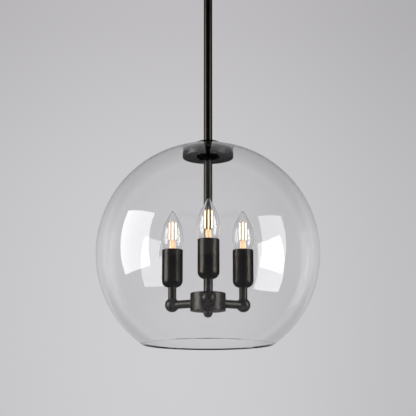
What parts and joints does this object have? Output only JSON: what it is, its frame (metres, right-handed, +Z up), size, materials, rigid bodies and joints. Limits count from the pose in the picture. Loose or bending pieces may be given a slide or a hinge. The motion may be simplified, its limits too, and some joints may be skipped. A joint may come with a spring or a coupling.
{
  "type": "pendant ceiling light",
  "caption": "Pendant ceiling light: a clear glass globe, open below, on a thin dark tube, with upright candle lamps on arms round a hub inside it.",
  "frame": {"origin": "On the ceiling, on the light's own axis: the centre of the ceiling plate's upper face.", "axes": "+Z is up, along the rods. Arm 1 points along -Y, and the other arms are 120 and 240 degrees from it, counterclockwise from above. The tilt pin lies along X."},
  "size_m": [0.356, 0.3558, 0.6922],
  "materials": {
    "black_bronze": "satin",
    "zinc_steel": "satin",
    "brass": "satin",
    "nylon": "satin",
    "holder_plastic": "matte",
    "lead_insulation": "matte",
    "silicone": "matte",
    "clear_glass": "gloss",
    "lamp_glass": "gloss",
    "nickel": "gloss",
    "solder": "satin",
    "filament": "matte"
  },
  "bodies": {
    "ceiling": {"ceiling_plate": "zinc_steel", "ground_screw": "brass", "canopy_studs": "zinc_steel", "stud_locknuts": "zinc_steel", "canopy": "black_bronze", "canopy_nuts": "black_bronze", "terminal_block": "nylon", "canopy_leads": "lead_insulation"},
    "swivel": {"swivel_yoke": "black_bronze", "yoke_washer": "nylon", "yoke_locknut": "zinc_steel", "pivot_screws": "black_bronze"},
    "stem": {"swivel_tongue": "black_bronze", "upper_rod": "black_bronze", "rod_nipple": "zinc_steel", "glass_cap": "black_bronze", "cap_gasket": "silicone", "glass_shade": "clear_glass", "holder_gasket": "silicone", "glass_holder": "black_bronze", "lower_rod": "black_bronze", "supply_leads": "lead_insulation", "hub_shell": "black_bronze", "hub_nipple": "zinc_steel", "hub_locknut": "zinc_steel", "cover_strap": "zinc_steel", "hub_connector": "nylon", "hub_cover": "black_bronze", "hub_finial": "black_bronze", "arm_locknuts": "zinc_steel", "arm_leads": "lead_insulation", "screw_shells": "brass", "centre_contacts": "brass", "arm_tube_1": "black_bronze", "arm_tube_2": "black_bronze", "arm_tube_3": "black_bronze", "elbow_ball_1": "black_bronze", "elbow_ball_2": "black_bronze", "elbow_ball_3": "black_bronze", "riser_tube_1": "black_bronze", "riser_tube_2": "black_bronze", "riser_tube_3": "black_bronze", "socket_cup_1": "black_bronze", "socket_cup_2": "black_bronze", "socket_cup_3": "black_bronze", "lampholder_1": "holder_plastic", "lampholder_2": "holder_plastic", "lampholder_3": "holder_plastic"},
    "lamp_rise_1": {"lamp_button_1": "solder"},
    "lamp_1": {"lamp_base_1": "nickel", "lamp_glass_1": "lamp_glass", "filament_mount_1": "filament"},
    "lamp_rise_2": {"lamp_button_2": "solder"},
    "lamp_2": {"lamp_base_2": "nickel", "lamp_glass_2": "lamp_glass", "filament_mount_2": "filament"},
    "lamp_rise_3": {"lamp_button_3": "solder"},
    "lamp_3": {"lamp_base_3": "nickel", "lamp_glass_3": "lamp_glass", "filament_mount_3": "filament"}
  },
  "joints": [
    {"name": "swivel_turn", "type": "hinge", "parent": "ceiling", "child": "swivel", "pos_m": [0, 0, -0.025], "axis": [0, 0, 1], "range_deg": [-170, 170]},
    {"name": "stem_tilt", "type": "hinge", "parent": "swivel", "child": "stem", "pos_m": [0, 0, -0.041], "axis": [1, 0, 0], "range_deg": [-45, 45]},
    {"name": "lamp_1_rise", "type": "slide", "parent": "stem", "child": "lamp_rise_1", "axis": [0, 0, 1], "range_m": [0, 0.0141]},
    {"name": "lamp_1_turn", "type": "hinge", "parent": "lamp_rise_1", "child": "lamp_1", "pos_m": [0, -0.066, -0.57008], "axis": [0, 0, 1], "range_deg": [0, 1803]},
    {"name": "lamp_2_rise", "type": "slide", "parent": "stem", "child": "lamp_rise_2", "axis": [0, 0, 1], "range_m": [0, 0.0141]},
    {"name": "lamp_2_turn", "type": "hinge", "parent": "lamp_rise_2", "child": "lamp_2", "pos_m": [0.05716, 0.033, -0.57008], "axis": [0, 0, 1], "range_deg": [0, 1803]},
    {"name": "lamp_3_rise", "type": "slide", "parent": "stem", "child": "lamp_rise_3", "axis": [0, 0, 1], "range_m": [0, 0.0141]},
    {"name": "lamp_3_turn", "type": "hinge", "parent": "lamp_rise_3", "child": "lamp_3", "pos_m": [-0.05716, 0.033, -0.57008], "axis": [0, 0, 1], "range_deg": [0, 1803]}
  ],
  "couplings": [
    {"joint": "lamp_1_turn", "follows": "lamp_1_rise", "rad_per_m": 2228.1},
    {"joint": "lamp_2_turn", "follows": "lamp_2_rise", "rad_per_m": 2228.1},
    {"joint": "lamp_3_turn", "follows": "lamp_3_rise", "rad_per_m": 2228.1}
  ]
}
